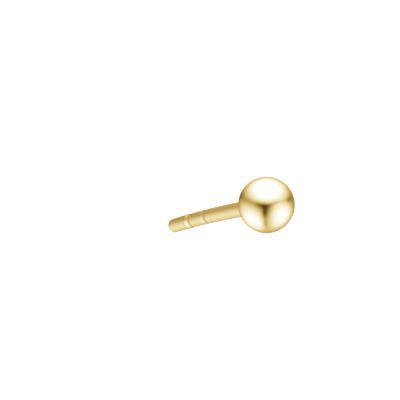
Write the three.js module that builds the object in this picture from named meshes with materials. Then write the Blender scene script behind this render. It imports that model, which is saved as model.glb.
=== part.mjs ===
// A ball stud earring: a polished ball soldered to a round ear post.
// Two rolled grooves near the post's tip catch a friction back.
// Millimetres, +Z up. The stud lies as it would by itself, the ball and the post's tip on the plane z = 0,
// with the post pointing along -X. The origin is the middle of the bottom of its bounding box.

import * as THREE from "three";
import { mergeVertices } from "three/addons/utils/BufferGeometryUtils.js";

// Driving dimensions
const BALL_DIAMETER = 3.0;
const POST_LENGTH = 9.5; // from the back of the ball to the flat end of the post
const POST_DIAMETER_AT_BALL = 0.83;
const POST_DIAMETER_AT_TIP = 0.8;
const POST_BEND_DEGREES = 3.5; // the slight turn of the post from its root to its tip, towards the table
const SOLDER_FILLET_RADIUS = 0.08;
const TIP_EDGE_RADIUS = 0.24;

// Each groove is a shallow valley whose far wall climbs to the lip of metal that the rolling pushed up.
// fromTip is the distance from the flat end to the bottom of the valley.
// Going towards the tip, the near wall falls to the bottom, the far wall climbs to the lip's crest,
// and the lip falls back to the plain post.
const GROOVES = [
  { fromTip: 4.46, depth: 0.022, nearWall: 0.2, farWall: 0.45, lipHeight: 0.002, lipFall: 0.08 },
  { fromTip: 2.56, depth: 0.035, nearWall: 0.2, farWall: 0.4, lipHeight: 0.02, lipFall: 0.12 },
];

// How finely the round shapes are cut into flat facets
const SIDES = 48;
const BALL_STEPS = 26;
const FILLET_STEPS = 3;
const TIP_EDGE_STEPS = 5;
const SHAFT_STEPS = 5;
const END_STEPS = 2;
const WALL_STEPS = 4;
const LIP_FALL_STEPS = 2;
const LEAST_STEP = 0.02;

const GOLD = { color: 0xe3c275, metalness: 1.0, roughness: 0.15 };

const ballRadius = BALL_DIAMETER / 2;
const rootRadius = POST_DIAMETER_AT_BALL / 2;
const tipRadius = POST_DIAMETER_AT_TIP / 2;
const tipReach = ballRadius + POST_LENGTH; // along the axis, from the ball's centre to the flat end
const bend = THREE.MathUtils.degToRad(POST_BEND_DEGREES);

// The solder fillet is an arc that touches both the ball and the post.
const filletCentre = new THREE.Vector2(
  rootRadius + SOLDER_FILLET_RADIUS,
  Math.sqrt((ballRadius + SOLDER_FILLET_RADIUS) ** 2 - (rootRadius + SOLDER_FILLET_RADIUS) ** 2),
);
const filletAngle = Math.atan2(filletCentre.x, filletCentre.y); // off the axis, seen from the ball's centre

// A groove's marks along the axis: where the near wall starts, the bottom, the crest and the lip's end.
function marksOf(groove) {
  const bottom = tipReach - groove.fromTip;
  const crest = bottom + groove.farWall;
  return [
    { along: bottom - groove.nearWall, height: 0 },
    { along: bottom, height: -groove.depth },
    { along: crest, height: groove.lipHeight },
    { along: crest + groove.lipFall, height: 0 },
  ];
}

// Height of a groove over the plain post: from mark to mark, along half a cosine wave.
function relief(along, groove) {
  const marks = marksOf(groove);
  const next = marks.findIndex((mark) => along < mark.along);
  if (next < 1) return 0;
  const [from, to] = [marks[next - 1], marks[next]];
  const eased = (1 - Math.cos((Math.PI * (along - from.along)) / (to.along - from.along))) / 2;
  return THREE.MathUtils.lerp(from.height, to.height, eased);
}

// Radius of the post at a distance along the axis: a slight taper, and the grooves' relief on it.
function postRadius(along) {
  const share = (along - filletCentre.y) / (tipReach - filletCentre.y);
  const plain = THREE.MathUtils.lerp(rootRadius, tipRadius, share);
  return GROOVES.reduce((radius, groove) => radius + relief(along, groove), plain);
}

function evenSteps(from, to, steps) {
  return Array.from({ length: steps + 1 }, (_, i) => THREE.MathUtils.lerp(from, to, i / steps));
}

// Points of an arc in the profile's plane, x outwards and y along the axis, at angles from the axis.
function arc(centre, radius, fromAngle, toAngle, steps) {
  return evenSteps(fromAngle, toAngle, steps).map(
    (angle) => new THREE.Vector2(centre.x + radius * Math.sin(angle), centre.y + radius * Math.cos(angle)),
  );
}

// Places along the post where its outline needs a point.
function postStations() {
  const stations = [];
  let reached = filletCentre.y;
  for (const groove of GROOVES) {
    const [start, bottom, crest, end] = marksOf(groove).map((mark) => mark.along);
    stations.push(...evenSteps(reached, start, SHAFT_STEPS));
    stations.push(...evenSteps(start, bottom, WALL_STEPS));
    stations.push(...evenSteps(bottom, crest, WALL_STEPS));
    stations.push(...evenSteps(crest, end, LIP_FALL_STEPS));
    reached = end;
  }
  stations.push(...evenSteps(reached, tipReach - TIP_EDGE_RADIUS, END_STEPS));
  return stations.filter((along, i) => i === 0 || along - stations[i - 1] > LEAST_STEP);
}

// Outline of the whole stud from the front of the ball to the end of the post.
function profile() {
  const ballCentre = new THREE.Vector2(0, 0);
  const edgeCentre = new THREE.Vector2(tipRadius - TIP_EDGE_RADIUS, tipReach - TIP_EDGE_RADIUS);
  const ball = arc(ballCentre, ballRadius, Math.PI, filletAngle, BALL_STEPS);
  const fillet = arc(filletCentre, SOLDER_FILLET_RADIUS, Math.PI + filletAngle, 1.5 * Math.PI, FILLET_STEPS);
  const shaft = postStations().map((along) => new THREE.Vector2(postRadius(along), along));
  const edge = arc(edgeCentre, TIP_EDGE_RADIUS, Math.PI / 2, 0, TIP_EDGE_STEPS);
  ball[0].x = 0;
  return [...ball, ...fillet.slice(1), ...shaft.slice(1), ...edge.slice(1), new THREE.Vector2(0, tipReach)];
}

// The downward slope of the post at its root that lets the ball and the rounded edge of the tip
// both touch the table. The bent post is an arc, whose chord has half its turn.
function slopeAtRest() {
  const bentLength = tipReach - TIP_EDGE_RADIUS - ballRadius;
  const chord = (bentLength * Math.sin(bend / 2)) / (bend / 2);
  const level = ballRadius + chord * Math.cos(bend / 2);
  const drop = chord * Math.sin(bend / 2);
  const rise = tipRadius - TIP_EDGE_RADIUS;
  const fall = ballRadius - TIP_EDGE_RADIUS;
  // level * sin(slope) + drop * cos(slope) + rise * cos(slope + bend) = fall
  const withSine = level - rise * Math.sin(bend);
  const withCosine = drop + rise * Math.cos(bend);
  return Math.asin(fall / Math.hypot(withSine, withCosine)) - Math.atan2(withCosine, withSine);
}

// The post's axis: straight through the ball, then an even bend down to the tip.
const rootSlope = slopeAtRest();
function axisAt(along) {
  const straight = Math.min(along, ballRadius);
  const bent = along - straight;
  const turn = (bend * bent) / (tipReach - TIP_EDGE_RADIUS - ballRadius);
  const chord = turn > 0 ? (bent * Math.sin(turn / 2)) / (turn / 2) : 0;
  const chordSlope = rootSlope + turn / 2;
  const slope = rootSlope + turn;
  return {
    point: new THREE.Vector3(
      -straight * Math.cos(rootSlope) - chord * Math.cos(chordSlope),
      0,
      ballRadius - straight * Math.sin(rootSlope) - chord * Math.sin(chordSlope),
    ),
    up: new THREE.Vector3(-Math.sin(slope), 0, Math.cos(slope)),
    side: new THREE.Vector3(0, -1, 0),
  };
}

// Turns the outline round its axis, then lays that straight axis along the post's bent one.
// Half a facet of turn puts flats, not edges, on the table.
function studGeometry() {
  const turned = new THREE.LatheGeometry(profile(), SIDES, Math.PI / 2 + Math.PI / SIDES);
  turned.deleteAttribute("normal");
  turned.deleteAttribute("uv");
  const geometry = mergeVertices(turned, 1e-4);
  const position = geometry.getAttribute("position");
  const vertex = new THREE.Vector3();
  for (let i = 0; i < position.count; i++) {
    vertex.fromBufferAttribute(position, i);
    const { point, up, side } = axisAt(vertex.y);
    point.addScaledVector(up, vertex.x).addScaledVector(side, vertex.z);
    position.setXYZ(i, point.x, point.y, point.z);
  }
  geometry.computeBoundingBox();
  const box = geometry.boundingBox;
  geometry.translate(-(box.min.x + box.max.x) / 2, -(box.min.y + box.max.y) / 2, -box.min.z);
  geometry.computeVertexNormals();
  return geometry;
}

const stud = new THREE.Mesh(studGeometry(), new THREE.MeshStandardMaterial(GOLD));
stud.name = "ball_stud";

const earring = new THREE.Group();
earring.add(stud);

export default earring;
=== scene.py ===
"""A ball stud earring: a polished gold ball soldered to a drawn ear post, lying on a pale table.

Metres, +Z up, in the part's own frame. The stud lies along X, with its ball at the +X end.
Run as a script, it draws the stud, its gold, the table, the soft light and the camera.
"""

import math
from typing import NamedTuple

import bpy
import numpy as np
from bpy.props import FloatProperty, FloatVectorProperty, IntProperty, PointerProperty
from bpy.types import NodeSocket, Operator, Panel, PropertyGroup
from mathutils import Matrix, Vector


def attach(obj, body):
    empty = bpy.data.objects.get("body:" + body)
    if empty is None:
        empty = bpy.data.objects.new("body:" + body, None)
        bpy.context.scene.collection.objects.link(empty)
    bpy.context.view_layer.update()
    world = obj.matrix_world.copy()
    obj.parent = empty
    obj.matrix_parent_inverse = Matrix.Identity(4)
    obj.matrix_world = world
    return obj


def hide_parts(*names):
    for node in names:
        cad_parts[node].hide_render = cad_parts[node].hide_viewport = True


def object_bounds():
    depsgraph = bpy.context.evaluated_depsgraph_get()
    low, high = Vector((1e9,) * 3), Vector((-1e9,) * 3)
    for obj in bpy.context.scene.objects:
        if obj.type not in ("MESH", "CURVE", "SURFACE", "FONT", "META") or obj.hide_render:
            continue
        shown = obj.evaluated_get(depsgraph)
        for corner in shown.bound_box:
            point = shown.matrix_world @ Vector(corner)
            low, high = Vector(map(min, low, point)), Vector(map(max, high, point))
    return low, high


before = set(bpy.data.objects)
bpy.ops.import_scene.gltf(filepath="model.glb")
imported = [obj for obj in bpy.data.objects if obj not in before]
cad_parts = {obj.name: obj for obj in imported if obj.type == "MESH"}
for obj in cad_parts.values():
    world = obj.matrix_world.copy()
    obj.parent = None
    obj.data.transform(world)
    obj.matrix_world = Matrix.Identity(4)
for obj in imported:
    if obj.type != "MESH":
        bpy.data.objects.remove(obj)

bl_info = {
    "name": "Ball Stud Earring",
    "version": (1, 0, 0),
    "blender": (4, 5, 0),
    "location": "View3D > Sidebar > Earring",
    "description": "Adds a gold ball stud earring and the pale table and soft light that it is shown in",
    "category": "Add Mesh",
}

MM = 0.001
SOLID_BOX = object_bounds()
PICTURE_SIDE = 400  # pixels
SENSOR_WIDTH = 36.0  # millimetres
CLIP_END = 20.0  # metres, which is past the table's corners

# Points of the outline on each of its stretches
BALL_POINTS = 150
SOLDER_POINTS = 12
POST_POINTS = 56
GROOVE_POINTS = 52
END_POINTS = 18

# Mesh attributes
STRAIGHTENED = "straightened"  # where a point would be if the post weren't bent
AROUND = "around"  # the direction round the post, square to its drawing lines
SHADE_AND_WEAR = "shade_and_wear"  # 1 where tarnish and painted shade darken the gold, -1 where the friction back rubs the gold bright

SOLDER_TARNISH_AND_SHADE = 0.3  # how much of the grooves' tarnish and painted shade darkens the solder fillet
RUBBED_HALF_WIDTH = 0.6  # of the deep groove's far wall
LEAST_HALF_BEND = 1e-6  # radians, which stands in for no bend at all

# The gold's uneven looks are noise, with this many cycles to a metre
PATCH_SCALE = 650.0
MARK_SCALE = (5000.0, 16000.0, 9000.0)  # coarse along the polishing marks and fine across them
LINE_SCALE = (700.0, 42000.0, 42000.0)  # the same for the drawing lines, which run along the post
MARK_TURN = (math.radians(20), math.radians(35), math.radians(50))
MARK_WAVER = 0.4

# The noise at which a look starts to show, and the noise at which it shows in full
WARM_PATCHES = (0.35, 0.75)
BRIGHT_LINES = (0.35, 0.8)
DULL_SPOTS = (0.3, 0.7)

BRIGHT_LINE_SHARE = 0.5  # how much of the polished gold's colour the brightest lines have
BALL_UNEVENNESS = 0.006  # how far the roughness goes up and down
POST_UNEVENNESS = 0.025


def length(name, description, millimetres):
    """A length in metres, with its default given in millimetres."""
    return FloatProperty(
        name=name, description=description, default=millimetres * MM, min=0.0, unit="LENGTH", precision=6
    )


def angle(name, description, degrees):
    """An angle in radians, with its default given in degrees."""
    return FloatProperty(name=name, description=description, default=math.radians(degrees), subtype="ANGLE")


def share(name, description, default):
    """A number from 0 to 1."""
    return FloatProperty(
        name=name, description=description, default=default, min=0.0, max=1.0, subtype="FACTOR"
    )


def colour(name, description, default):
    """A linear colour."""
    return FloatVectorProperty(
        name=name, description=description, default=default, min=0.0, max=1.0, size=3, subtype="COLOR"
    )


def pixels(name, description, default):
    """A distance in the picture, in its pixels."""
    return FloatProperty(name=name, description=description, default=default, subtype="PIXEL")


class DeepGroove(PropertyGroup):
    """The friction groove nearer the end of the post, where the back clicks home."""

    from_end: length("From the End", "From the flat end of the post to the bottom of the valley", 2.56)
    depth: length("Depth", "How deep the valley is", 0.035)
    near_wall: length("Near Wall", "Width of the valley's wall on the ball's side", 0.2)
    far_wall: length("Far Wall", "From the bottom of the valley to the crest of the lip", 0.4)
    lip_height: length("Lip Height", "How far the pushed-up metal stands proud of the post", 0.02)
    lip_fall: length("Lip Fall", "From the crest of the lip down to the plain post", 0.12)


class FaintGroove(PropertyGroup):
    """The second friction groove, nearer the ball, with hardly any lip."""

    from_end: length("From the End", "From the flat end of the post to the bottom of the valley", 4.46)
    depth: length("Depth", "How deep the valley is", 0.022)
    near_wall: length("Near Wall", "Width of the valley's wall on the ball's side", 0.2)
    far_wall: length("Far Wall", "From the bottom of the valley to the crest of the lip", 0.45)
    lip_height: length("Lip Height", "How far the pushed-up metal stands proud of the post", 0.002)
    lip_fall: length("Lip Fall", "From the crest of the lip down to the plain post", 0.08)


class StudSizes(PropertyGroup):
    """Sizes of the ball and the post."""

    ball_diameter: length("Ball Diameter", "Across the ball", 3.0)
    post_length: length("Post Length", "From the back of the ball to the flat end of the post", 9.5)
    diameter_at_ball: length("Diameter at the Ball", "Across the post where it leaves the ball", 0.83)
    diameter_at_end: length("Diameter at the End", "Across the post before its rounded end", 0.8)
    bend: angle("Bend", "How far the post turns towards the table over its length", 3.5)
    solder_radius: length("Solder Radius", "Radius of the fillet of solder round the post's root", 0.08)
    end_radius: length("End Radius", "Radius of the rounded edge of the post's end", 0.24)
    deep_groove: PointerProperty(type=DeepGroove)
    faint_groove: PointerProperty(type=FaintGroove)
    sides: IntProperty(name="Sides", description="Facets round the stud", default=192, min=24, max=256)


class GoldFinish(PropertyGroup):
    """Colour and polish of the gold."""

    gold: colour("Gold", "Colour of the polished plating", (1.0, 0.77, 0.34))
    warm_gold: colour("Warm Gold", "Colour of the slightly thicker, warmer patches", (0.965, 0.73, 0.3))
    drawn_gold: colour("Drawn Gold", "Colour of the plating on the drawn post", (0.98, 0.735, 0.26))
    # The tarnish colour also stands for painted shade, darkening the valleys' near walls and the solder
    # fillet.
    tarnish_and_shade: colour("Tarnish", "Colour in the grooves and round the solder", (0.75, 0.51, 0.15))
    tarnish_and_shade_share: share("Tarnish Share", "How much of the gold in the grooves the tarnish covers", 0.6)
    wear_roughness: share(
        "Wear Roughness", "How much duller tarnished gold is, and how much shinier rubbed gold", 0.18
    )
    edge_tint: colour("Edge Tint", "Colour of the polished gold at a glancing angle", (1.0, 0.84, 0.58))
    drawn_edge_tint: colour(
        "Drawn Edge Tint", "Colour of the drawn gold at a glancing angle", (0.83, 0.66, 0.4)
    )
    ball_roughness: share("Ball Roughness", "How dull the polished ball is", 0.06)
    post_roughness: share("Post Roughness", "How dull the drawn post is", 0.36)
    line_depth: length("Line Depth", "Depth of the drawing lines on the post", 0.0002)
    mark_depth: length("Mark Depth", "Depth of the polishing marks on the ball", 0.001)
    smear: share("Smear", "How much more the drawing lines blur reflections across than along them", 0.85)


class StudioSettings(PropertyGroup):
    """The table, the light and the camera."""

    table_side: length("Table Side", "Length of a side of the table top", 4000.0)
    table_colour: colour("Table Colour", "Colour of the table", (0.98, 0.98, 0.98))
    daylight: FloatProperty(
        name="Daylight", description="Strength of the white light", default=1.12, min=0.0
    )
    view_angle: angle("View Angle", "How far the camera stands round from the side of the stud", 60.2)
    camera_distance: length("Camera Distance", "Level distance from the camera to the ball", 100.0)
    camera_height: length("Camera Height", "Height of the lens above the table", 0.54)
    ball_radius_in_picture: pixels("Ball Radius in the Picture", "From the ball's middle to its rim", 28.25)
    ball_right: pixels("Ball Right", "From the middle of the picture to the ball, to the right", 66.5)
    ball_down: pixels("Ball Down", "From the middle of the picture to the ball, downwards", 4.9)


def hump(x):
    """A raised cosine: half of (1 + cos(pi x)) where x is between -1 and 1, and 0 elsewhere."""
    return np.where(np.abs(x) < 1.0, 0.5 * (1.0 + np.cos(np.pi * x)), 0.0)


def groove_relief(from_valley, groove):
    """Height of a groove over the plain post, at each distance from the bottom of its valley.

    It passes 0 where the near wall starts, minus the depth at the bottom, the lip height at the crest
    and 0 where the lip ends. Between two of these it is the first plus the difference times
    half of (1 - cos(pi t)), with t going evenly from 0 to 1.
    """
    crest = groove.far_wall
    places = [-groove.near_wall, 0.0, crest, crest + groove.lip_fall]
    heights = np.array([0.0, -groove.depth, groove.lip_height, 0.0, 0.0])
    stage = np.interp(from_valley, places, [0.0, 1.0, 2.0, 3.0])
    step = np.floor(stage).astype(int)
    eased = 0.5 * (1.0 - np.cos(np.pi * (stage - step)))
    return heights[step] + (heights[step + 1] - heights[step]) * eased


def solder_arc(sizes):
    """How far along the axis and off it the centre of the fillet's arc is, and its angle off the axis.

    The arc touches the ball from outside and the post's side, so its centre is one fillet radius
    off the post and the sum of both radii from the ball's centre.
    """
    off = sizes.diameter_at_ball / 2 + sizes.solder_radius
    along = math.sqrt((sizes.ball_diameter / 2 + sizes.solder_radius) ** 2 - off**2)
    return along, off, math.atan2(off, along)


def post_reach(sizes):
    """Distance along the axis from the middle of the ball to the flat end."""
    return sizes.ball_diameter / 2 + sizes.post_length


def post_radius(along, sizes):
    """Radius of the post at each distance along the axis.

    It is a straight taper from the root to the end, plus the relief of both grooves.
    """
    root, _, _ = solder_arc(sizes)
    reach = post_reach(sizes)
    taper = (along - root) / (reach - root)
    radius = sizes.diameter_at_ball / 2 * (1 - taper) + sizes.diameter_at_end / 2 * taper
    for groove in (sizes.deep_groove, sizes.faint_groove):
        radius = radius + groove_relief(along - (reach - groove.from_end), groove)
    return radius


def stud_outline(sizes):
    """Distances along the axis, and radii, of the outline from the front of the ball to the flat end.

    The ball is (R cos a, R sin a) with a from half a turn to the fillet's angle.
    The fillet is an arc that curves the other way, and the post follows post_radius.
    The rounded edge is a quarter circle, and the flat end closes the outline on the axis.
    """
    ball = sizes.ball_diameter / 2
    root, off, solder_angle = solder_arc(sizes)
    a = np.linspace(math.pi, solder_angle, BALL_POINTS)
    ball_along, ball_radius = ball * np.cos(a), ball * np.sin(a)

    a = np.linspace(solder_angle, math.pi / 2, SOLDER_POINTS)[1:]
    solder_along = root - sizes.solder_radius * np.cos(a)
    solder_radius = off - sizes.solder_radius * np.sin(a)

    reach = post_reach(sizes)
    stations = [np.linspace(root, reach - sizes.end_radius, POST_POINTS)]
    for groove in (sizes.deep_groove, sizes.faint_groove):
        valley = reach - groove.from_end
        start, end = valley - groove.near_wall, valley + groove.far_wall + groove.lip_fall
        stations.append(np.linspace(start, end, GROOVE_POINTS))
    post_along = np.unique(np.concatenate(stations))[1:]

    a = np.linspace(0, math.pi / 2, END_POINTS)[1:]
    end_along = reach - sizes.end_radius * (1 - np.sin(a))
    end_radius = sizes.diameter_at_end / 2 - sizes.end_radius * (1 - np.cos(a))

    along = np.concatenate([ball_along, solder_along, post_along, end_along, [reach]])
    radius = np.concatenate([ball_radius, solder_radius, post_radius(post_along, sizes), end_radius, [0.0]])
    radius[0] = 0.0
    return along, radius


def slope_at_rest(sizes):
    """Downward slope of the root of the post when the ball and the rounded end both touch the table.

    The bent post is an arc, so its chord leaves the root at half of its bend. The height of the ball's
    centre less that of the end's rounded edge is what the straight stretch and the chord must fall:
    level * sin(slope) + drop * cos(slope) + rise * cos(slope + bend) = fall, which is solved for the slope.
    """
    ball = sizes.ball_diameter / 2
    half = max(sizes.bend / 2, LEAST_HALF_BEND)
    bent = post_reach(sizes) - sizes.end_radius - ball
    chord = bent * math.sin(half) / half
    level = ball + chord * math.cos(half)
    drop = chord * math.sin(half)
    rise = sizes.diameter_at_end / 2 - sizes.end_radius
    fall = ball - sizes.end_radius
    sine = level - rise * math.sin(sizes.bend)
    cosine = drop + rise * math.cos(sizes.bend)
    return math.asin(fall / math.hypot(sine, cosine)) - math.atan2(cosine, sine)


def lay_along_post(along, radius, around, sizes):
    """Points of the bent stud, from distance along the axis, radius and angle round the axis.

    The axis runs straight from the ball's centre to its back. From there it turns evenly, so after a
    bent length b it has turned bend * b / (whole bent length), and has moved a chord of b * sinc(half
    the turn) in the direction of the slope plus half the turn. Each ring stands square to the axis.
    """
    ball = sizes.ball_diameter / 2
    slope = slope_at_rest(sizes)
    straight = np.minimum(along, ball)
    bent = along - straight
    turn = sizes.bend * bent / (post_reach(sizes) - sizes.end_radius - ball)
    chord = bent * np.sinc(turn / (2 * math.pi))
    x = -straight * math.cos(slope) - chord * np.cos(slope + turn / 2)
    z = ball - straight * math.sin(slope) - chord * np.sin(slope + turn / 2)
    up = radius * np.cos(around)
    side = radius * np.sin(around)
    return np.stack([x - up * np.sin(slope + turn), side, z + up * np.cos(slope + turn)], axis=-1)


def shade_and_wear_along(along, sizes):
    """Tarnish and painted shade as a hump on each valley's near wall, and a low one along the solder.

    The hump on the deep groove's far wall, which the friction back rubs bright, is taken off.
    """
    root, _, _ = solder_arc(sizes)
    reach = post_reach(sizes)
    shade_and_wear = SOLDER_TARNISH_AND_SHADE * hump((along - root + sizes.solder_radius / 2) / (2 * sizes.solder_radius))
    for groove in (sizes.deep_groove, sizes.faint_groove):
        near_wall_middle = reach - groove.from_end - groove.near_wall / 2
        shade_and_wear = shade_and_wear + hump((along - near_wall_middle) / groove.near_wall)
    rubbed = sizes.deep_groove
    half_width = RUBBED_HALF_WIDTH * rubbed.far_wall
    shade_and_wear = shade_and_wear - hump((along - reach + rubbed.from_end - half_width) / half_width)
    return np.clip(shade_and_wear, -1.0, 1.0)


def closed_faces(rings, sides):
    """Faces of a grid of rings, closed round and at both ends, all facing outwards.

    Ring by ring the vertices are the grid's, and the front pole and the end pole come after them.
    """
    side = np.arange(sides)
    after = (side + 1) % sides
    ring = np.arange(rings - 1)[:, None] * sides
    quads = np.stack([ring + side, ring + after, ring + sides + after, ring + sides + side], axis=-1)
    front_pole, end_pole = rings * sides, rings * sides + 1
    last_ring = (rings - 1) * sides
    front = np.stack([np.full(sides, front_pole), after, side], axis=-1)
    end = np.stack([np.full(sides, end_pole), last_ring + side, last_ring + after], axis=-1)
    return quads.reshape(-1, 4).tolist() + front.tolist() + end.tolist()


def stud_mesh(sizes):
    """The stud's closed surface: the outline turned round the axis on a grid of rings and sides.

    The first and last points of the outline lie on the axis and are one vertex each. Faces from the
    root of the post onwards have the second material, the drawn gold.
    """
    along, radius = stud_outline(sizes)
    rings, sides = len(along) - 2, sizes.sides
    around = np.arange(sides) * (2 * math.pi / sides)
    grid_along = np.repeat(along[1:-1, None], sides, axis=1)
    grid_radius = np.repeat(radius[1:-1, None], sides, axis=1)
    grid_around = np.repeat(around[None, :], rings, axis=0)
    all_along = np.concatenate([grid_along.ravel(), along[[0, -1]]])
    all_radius = np.concatenate([grid_radius.ravel(), [0.0, 0.0]])
    all_around = np.concatenate([grid_around.ravel(), [0.0, 0.0]])

    points = lay_along_post(all_along, all_radius, all_around, sizes)
    points[:, 0] += SOLID_BOX[1][0] - sizes.ball_diameter / 2

    mesh = bpy.data.meshes.new("ball_stud_surface")
    mesh.from_pydata(points.tolist(), [], closed_faces(rings, sides))
    across = [all_radius * np.cos(all_around), all_radius * np.sin(all_around)]
    straight = np.stack([all_along, *across], axis=-1)
    quarter_on = lay_along_post(all_along, 1.0, all_around + math.pi / 2, sizes)
    onwards = quarter_on - lay_along_post(all_along, 0.0, all_around, sizes)
    for name, kind, field, values in (
        (STRAIGHTENED, "FLOAT_VECTOR", "vector", straight),
        (AROUND, "FLOAT_VECTOR", "vector", onwards),
        (SHADE_AND_WEAR, "FLOAT", "value", shade_and_wear_along(all_along, sizes)),
    ):
        mesh.attributes.new(name, kind, "POINT").data.foreach_set(field, values.ravel())

    root, _, _ = solder_arc(sizes)
    drawn_ring = along[1:rings] >= root
    drawn = np.concatenate([np.repeat(drawn_ring, sides), np.zeros(sides, bool), np.ones(sides, bool)])
    mesh.polygons.foreach_set("material_index", drawn.astype(np.int32))
    mesh.shade_smooth()
    mesh.update()
    mesh.validate()
    return mesh


def put(tree, kind, inputs, **settings):
    """Adds a shader node, sets its settings, and gives each input its value or links it to a socket."""
    node = tree.nodes.new("ShaderNode" + kind)
    for name, value in settings.items():
        setattr(node, name, value)
    for name, value in inputs.items():
        if isinstance(value, NodeSocket):
            tree.links.new(value, node.inputs[name])
        else:
            node.inputs[name].default_value = value
    return node


def reckon(tree, operation, first, second=0.0):
    """The result of a Math node on two numbers or sockets."""
    return put(tree, "Math", {0: first, 1: second}, operation=operation).outputs[0]


def between(tree, value, low, high, to_low=0.0, to_high=1.0, smooth=False):
    """The value's place from low to high, carried over to the range from to_low to to_high."""
    limits = {"Value": value, "From Min": low, "From Max": high, "To Min": to_low, "To Max": to_high}
    kind = "SMOOTHSTEP" if smooth else "LINEAR"
    return put(tree, "MapRange", limits, interpolation_type=kind).outputs["Result"]


def blended(tree, how_much, first, second):
    """A mix of two colours, which the Mix node takes in its sockets 6 and 7."""
    return put(tree, "Mix", {0: how_much, 6: first, 7: second}, data_type="RGBA").outputs[2]


def weighed(tree, how_much, first, second):
    """A mix of two numbers, which the Mix node takes in its sockets 2 and 3."""
    return put(tree, "Mix", {0: how_much, 2: first, 3: second}, data_type="FLOAT").outputs[0]


def gold_material(name, finish, edge_tint, paint, shine, height, depth):
    """Gold plating whose colour, roughness and relief come from three functions.

    Each gets the node tree and the straightened place, and returns a socket. Tarnished places, which also
    carry painted shade, are darker and duller, and rubbed ones are shinier.
    """
    material = bpy.data.materials.new(name)
    material.use_nodes = True
    tree = material.node_tree
    shader = tree.nodes["Principled BSDF"]
    place = put(tree, "Attribute", {}, attribute_name=STRAIGHTENED).outputs["Vector"]
    shade_and_wear = put(tree, "Attribute", {}, attribute_name=SHADE_AND_WEAR).outputs["Fac"]

    # Painted shade and tarnish: the valleys' near walls and the solder are mixed towards the tarnish
    # colour.
    tarnish_and_shade_amount = between(tree, shade_and_wear, 0.0, 1.0, 0.0, finish.tarnish_and_shade_share)
    shaded_and_tarnished_colour = blended(tree, tarnish_and_shade_amount, paint(tree, place), (*finish.tarnish_and_shade, 1.0))
    tree.links.new(shaded_and_tarnished_colour, shader.inputs["Base Color"])
    dulled = between(tree, shade_and_wear, -1.0, 1.0, -finish.wear_roughness, finish.wear_roughness)
    tree.links.new(reckon(tree, "ADD", shine(tree, place), dulled), shader.inputs["Roughness"])
    bump = put(tree, "Bump", {"Strength": 1.0, "Distance": depth, "Height": height(tree, place)})
    tree.links.new(bump.outputs["Normal"], shader.inputs["Normal"])
    shader.inputs["Metallic"].default_value = 1.0
    shader.inputs["Specular Tint"].default_value = (*edge_tint, 1.0)
    return material


def ball_gold(finish):
    """The mirror polish of the ball: broad warm patches, and fine marks that run one way."""

    def patches(tree, place):
        return put(tree, "TexNoise", {"Vector": place, "Scale": PATCH_SCALE, "Detail": 2.0}).outputs["Fac"]

    def paint(tree, place):
        warm = between(tree, patches(tree, place), *WARM_PATCHES)
        return blended(tree, warm, (*finish.gold, 1.0), (*finish.warm_gold, 1.0))

    def shine(tree, place):
        bright, dull = finish.ball_roughness - BALL_UNEVENNESS, finish.ball_roughness + BALL_UNEVENNESS
        return between(tree, patches(tree, place), *DULL_SPOTS, bright, dull)

    def marks(tree, place):
        run = {"Vector": place, "Rotation": MARK_TURN, "Scale": MARK_SCALE}
        along_marks = put(tree, "Mapping", run).outputs["Vector"]
        kind = {"Vector": along_marks, "Scale": 1.0, "Detail": 2.0, "Distortion": MARK_WAVER}
        return put(tree, "TexNoise", kind).outputs["Fac"]

    return gold_material("polished_gold", finish, finish.edge_tint, paint, shine, marks, finish.mark_depth)


def post_gold(finish):
    """The drawn wire of the post: long fine noise along the straightened post makes its lines."""

    def lines(tree, place):
        along_lines = put(tree, "Mapping", {"Vector": place, "Scale": LINE_SCALE}).outputs["Vector"]
        return put(tree, "TexNoise", {"Vector": along_lines, "Scale": 1.0, "Detail": 3.0}).outputs["Fac"]

    def paint(tree, place):
        bright_lines = between(tree, lines(tree, place), *BRIGHT_LINES, 0.0, BRIGHT_LINE_SHARE)
        return blended(tree, bright_lines, (*finish.drawn_gold, 1.0), (*finish.gold, 1.0))

    def shine(tree, place):
        bright, dull = finish.post_roughness - POST_UNEVENNESS, finish.post_roughness + POST_UNEVENNESS
        return between(tree, lines(tree, place), *DULL_SPOTS, bright, dull)

    edge_tint = finish.drawn_edge_tint
    material = gold_material("drawn_gold", finish, edge_tint, paint, shine, lines, finish.line_depth)
    tree = material.node_tree
    shader = tree.nodes["Principled BSDF"]
    shader.inputs["Anisotropic"].default_value = finish.smear
    around = put(tree, "Attribute", {}, attribute_name=AROUND).outputs["Vector"]
    tree.links.new(around, shader.inputs["Tangent"])
    return material


class EARRING_OT_add_stud(Operator):
    """Add the ball and its post as one polished surface"""

    bl_idname = "earring.add_stud"
    bl_label = "Add Ball Stud"
    bl_options = {"REGISTER", "UNDO"}

    def execute(self, context):
        sizes = context.scene.earring_sizes
        stud = bpy.data.objects.new("polished_ball_stud", stud_mesh(sizes))
        context.scene.collection.objects.link(stud)
        finish = context.scene.earring_gold
        stud.data.materials.append(ball_gold(finish))
        stud.data.materials.append(post_gold(finish))
        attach(stud, "root")
        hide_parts("ball_stud")
        return {"FINISHED"}


class SoftSpot(NamedTuple):
    """A light or a gap, as a mirror ball on the table shows it from the front, in radii of that ball."""

    right: float  # of the ball's middle
    up: float
    half_width: float
    half_height: float
    lean: float  # to the left, in degrees
    stops: float  # of light that it adds, or takes away where it is a gap


# The soft lights round the stud
LIGHTS = {
    "overhead": SoftSpot(0.01, 0.56, 0.3, 0.22, 0, 4.2),
    "low left": SoftSpot(-0.5, -0.56, 0.15, 0.24, 50, 2.6),
    "low right": SoftSpot(0.57, -0.4, 0.16, 0.25, -27, 2.7),
    "glow round low left": SoftSpot(-0.64, -0.35, 0.25, 0.5, 38, 1.4),
    "glow round low right": SoftSpot(0.37, -0.22, 0.14, 0.45, -14, 1.0),
}
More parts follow.
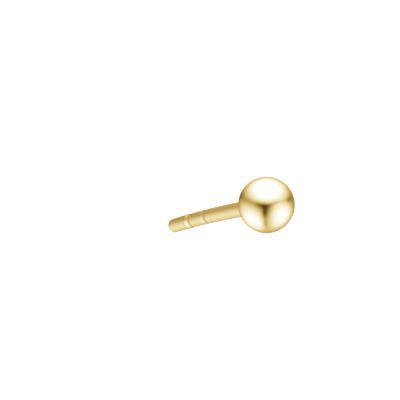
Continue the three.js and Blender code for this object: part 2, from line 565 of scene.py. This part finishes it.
# The dark gaps between the lights
GAPS = {
    "under the overhead light, left": SoftSpot(-0.23, 0.0, 0.22, 0.07, -9, 1.9),
    "under the overhead light, right": SoftSpot(0.3, 0.06, 0.29, 0.05, 19, 1.4),
    "between the low lights, upper": SoftSpot(-0.07, -0.3, 0.06, 0.16, 0, 1.5),
    "between the low lights, lower": SoftSpot(-0.04, -0.67, 0.05, 0.09, 7, 1.3),
    "left of the overhead light": SoftSpot(-0.66, 0.16, 0.13, 0.07, -20, 1.0),
    "right of the low right light": SoftSpot(0.77, 0.16, 0.04, 0.08, -21, 0.9),
    "far left": SoftSpot(-1.1, 0.46, 0.18, 0.49, 33, 1.3),
    "upper left": SoftSpot(-0.86, 0.32, 0.06, 0.14, 20, 0.5),
}
RIM_STOPS = -1.3  # the room behind the stud, which shows at the rim of the mirror ball
RIM_DEPTH = 0.73  # how far forward on the mirror ball the room behind starts to show
DIMMEST_STOPS = -6.0  # the room where none of the lights' soft spots reach
FLATTENED = 1e6  # a soft spot's width in depth, so large that the depth doesn't count

# What the room looks like at each brightness in stops, from its warm shadows to its lamps
TONES = {
    -3.5: (0.1, 0.064, 0.018),
    -3.0: (0.12, 0.08, 0.03),
    -2.4: (0.23, 0.17, 0.07),
    -1.2: (0.52, 0.47, 0.31),
    -0.2: (0.73, 0.73, 0.66),
    1.0: (0.9, 1.03, 1.56),
    2.4: (1.0, 1.3, 2.8),
    3.0: (1.2, 1.45, 3.2),
}
BRIGHTEST = 3.2  # the largest number in the tones; the colour ramp holds them divided by it


def falloff(tree, mirror, spot):
    """A soft spot's share of its strength at a place on the mirror ball.

    It is the exponential of minus half the squared distance to its middle, in half widths and heights.
    """
    place = {
        "Vector": mirror,
        "Location": (spot.right, 0.0, spot.up),
        "Rotation": (0.0, -math.radians(spot.lean), 0.0),
        "Scale": (spot.half_width, FLATTENED, spot.half_height),
    }
    off = put(tree, "Mapping", place, vector_type="TEXTURE").outputs["Vector"]
    squared = put(tree, "VectorMath", {0: off, 1: off}, operation="DOT_PRODUCT").outputs["Value"]
    return reckon(tree, "EXPONENT", reckon(tree, "MULTIPLY", squared, -0.5))


def studio_light(settings):
    """White light all round for the table, and the soft-lit room that the gold mirrors.

    A direction is turned into its place on a mirror ball seen from the front: the halfway vector
    between it and the direction to the front, with x to the right, y away and z up. The lights'
    soft spots are added up there, and fade into the room behind towards the rim. The sum is taken
    in stops, the gaps' soft spots are taken off it, and the result picks a tone.
    """
    world = bpy.data.worlds.new("soft_studio")
    world.use_nodes = True
    world.cycles.sampling_method = "NONE"  # so that the gold meets the mirrored room alone
    tree = world.node_tree
    tree.nodes.clear()
    front = (math.sin(settings.view_angle), -math.cos(settings.view_angle), 0.0)
    ray = put(tree, "TexCoord", {}).outputs["Generated"]
    halfway = put(tree, "VectorMath", {0: ray, 1: front}, operation="ADD").outputs["Vector"]
    on_ball = put(tree, "VectorMath", {0: halfway}, operation="NORMALIZE").outputs["Vector"]
    turned = {"Vector": on_ball, "Rotation": (0.0, 0.0, -settings.view_angle)}
    mirror = put(tree, "Mapping", turned, vector_type="POINT").outputs["Vector"]

    light = 2.0**DIMMEST_STOPS
    for spot in LIGHTS.values():
        glow = reckon(tree, "MULTIPLY", falloff(tree, mirror, spot), 2.0**spot.stops)
        light = reckon(tree, "ADD", glow, light)
    away = put(tree, "SeparateXYZ", {"Vector": mirror}).outputs["Y"]
    behind = between(tree, away, -RIM_DEPTH, 0.0, smooth=True)
    brightness = reckon(tree, "LOGARITHM", weighed(tree, behind, light, 2.0**RIM_STOPS), 2.0)
    for spot in GAPS.values():
        shade = reckon(tree, "MULTIPLY", falloff(tree, mirror, spot), spot.stops)
        brightness = reckon(tree, "SUBTRACT", brightness, shade)

    darkest, lightest = min(TONES), max(TONES)
    tone = between(tree, brightness, darkest, lightest)
    ramp = put(tree, "ValToRGB", {"Fac": tone})
    ramp_stops = ramp.color_ramp.elements
    ramp_stops.remove(ramp_stops[-1])
    for step, (stops, colour_of_room) in enumerate(TONES.items()):
        position = (stops - darkest) / (lightest - darkest)
        ramp_stop = ramp_stops[0] if step == 0 else ramp_stops.new(position)
        ramp_stop.position = position
        ramp_stop.color = (*(part / BRIGHTEST for part in colour_of_room), 1.0)

    mirrored = put(tree, "LightPath", {}).outputs["Is Glossy Ray"]
    white = put(tree, "Background", {"Color": (1.0, 1.0, 1.0, 1.0), "Strength": settings.daylight})
    room = put(tree, "Background", {"Color": ramp.outputs["Color"], "Strength": BRIGHTEST})
    both = put(tree, "MixShader", {0: mirrored, 1: white.outputs[0], 2: room.outputs[0]})
    put(tree, "OutputWorld", {"Surface": both.outputs[0]})
    return world


def table_top(settings):
    """A square pale table at z = 0, which lights the stud from below but isn't mirrored in it."""
    half = settings.table_side / 2
    corners = np.array([(-half, -half, 0.0), (half, -half, 0.0), (half, half, 0.0), (-half, half, 0.0)])
    mesh = bpy.data.meshes.new("table_top")
    mesh.from_pydata(corners.tolist(), [], [(0, 1, 2, 3)])
    material = bpy.data.materials.new("pale_table")
    material.use_nodes = True
    shader = material.node_tree.nodes["Principled BSDF"]
    shader.inputs["Base Color"].default_value = (*settings.table_colour, 1.0)
    shader.inputs["Roughness"].default_value = 1.0
    shader.inputs["Specular IOR Level"].default_value = 0.0
    mesh.materials.append(material)
    table = bpy.data.objects.new("table", mesh)
    table.visible_glossy = False
    return table


def studio_camera(settings, sizes):
    """A long lens near the table, aimed so that the ball is in its place in the picture.

    The focal length in pixels is the ball's radius there times the distance over its real radius.
    The aim is turned left and up from the ball by the angles whose tangents are its offsets over it.
    """
    ball_radius = sizes.ball_diameter / 2
    ball = Vector((SOLID_BOX[1][0] - ball_radius, 0.0, ball_radius))
    focal = settings.ball_radius_in_picture * settings.camera_distance / ball_radius
    to_camera = Vector((math.sin(settings.view_angle), -math.cos(settings.view_angle), 0.0))
    place = Vector((ball.x, ball.y, settings.camera_height)) + to_camera * settings.camera_distance
    sight = (ball - place).normalized()
    turn = math.atan2(settings.ball_right, focal)
    heading = math.atan2(sight.y, sight.x) + turn
    tilt = math.asin(sight.z) + math.atan2(settings.ball_down * math.cos(turn), focal)
    aim = Vector((math.cos(heading) * math.cos(tilt), math.sin(heading) * math.cos(tilt), math.sin(tilt)))
    lens = bpy.data.cameras.new("picture_camera")
    lens.sensor_width = SENSOR_WIDTH
    lens.lens = focal / PICTURE_SIDE * SENSOR_WIDTH
    lens.clip_start = 1 * MM
    lens.clip_end = CLIP_END
    camera = bpy.data.objects.new("picture_camera", lens)
    camera.location = place
    camera.rotation_euler = aim.to_track_quat("-Z", "Y").to_euler()
    return camera


class EARRING_OT_add_studio(Operator):
    """Add the pale table, the soft light and the camera"""

    bl_idname = "earring.add_studio"
    bl_label = "Add Studio"
    bl_options = {"REGISTER", "UNDO"}

    def execute(self, context):
        scene = context.scene
        settings = scene.earring_studio
        table = table_top(settings)
        scene.collection.objects.link(table)
        scene.world = studio_light(settings)
        camera = studio_camera(settings, scene.earring_sizes)
        scene.collection.objects.link(camera)
        scene.camera = camera
        scene.view_settings.view_transform = "Standard"
        return {"FINISHED"}


class EARRING_PT_panel(Panel):
    """The sizes, the finish and the studio of the earring"""

    bl_idname = "EARRING_PT_panel"
    bl_label = "Ball Stud Earring"
    bl_space_type = "VIEW_3D"
    bl_region_type = "UI"
    bl_category = "Earring"

    def draw(self, context):
        scene = context.scene
        groups = {
            "Stud": (scene.earring_sizes, EARRING_OT_add_stud),
            "Deep Groove": (scene.earring_sizes.deep_groove, None),
            "Faint Groove": (scene.earring_sizes.faint_groove, None),
            "Gold": (scene.earring_gold, None),
            "Studio": (scene.earring_studio, EARRING_OT_add_studio),
        }
        for title, (group, operator) in groups.items():
            box = self.layout.box()
            box.label(text=title)
            for name, setting in group.bl_rna.properties.items():
                if name not in {"rna_type", "name"} and setting.type != "POINTER":
                    box.prop(group, name)
            if operator is not None:
                box.operator(operator.bl_idname)


CLASSES = (
    DeepGroove,
    FaintGroove,
    StudSizes,
    GoldFinish,
    StudioSettings,
    EARRING_OT_add_stud,
    EARRING_OT_add_studio,
    EARRING_PT_panel,
)


def register():
    for cls in CLASSES:
        bpy.utils.register_class(cls)
    bpy.types.Scene.earring_sizes = PointerProperty(type=StudSizes)
    bpy.types.Scene.earring_gold = PointerProperty(type=GoldFinish)
    bpy.types.Scene.earring_studio = PointerProperty(type=StudioSettings)


def unregister():
    del bpy.types.Scene.earring_studio
    del bpy.types.Scene.earring_gold
    del bpy.types.Scene.earring_sizes
    for cls in reversed(CLASSES):
        bpy.utils.unregister_class(cls)


def main():
    """Draws the earring in its studio."""
    register()
    bpy.ops.earring.add_stud()
    bpy.ops.earring.add_studio()


if __name__ == "__main__":
    main()
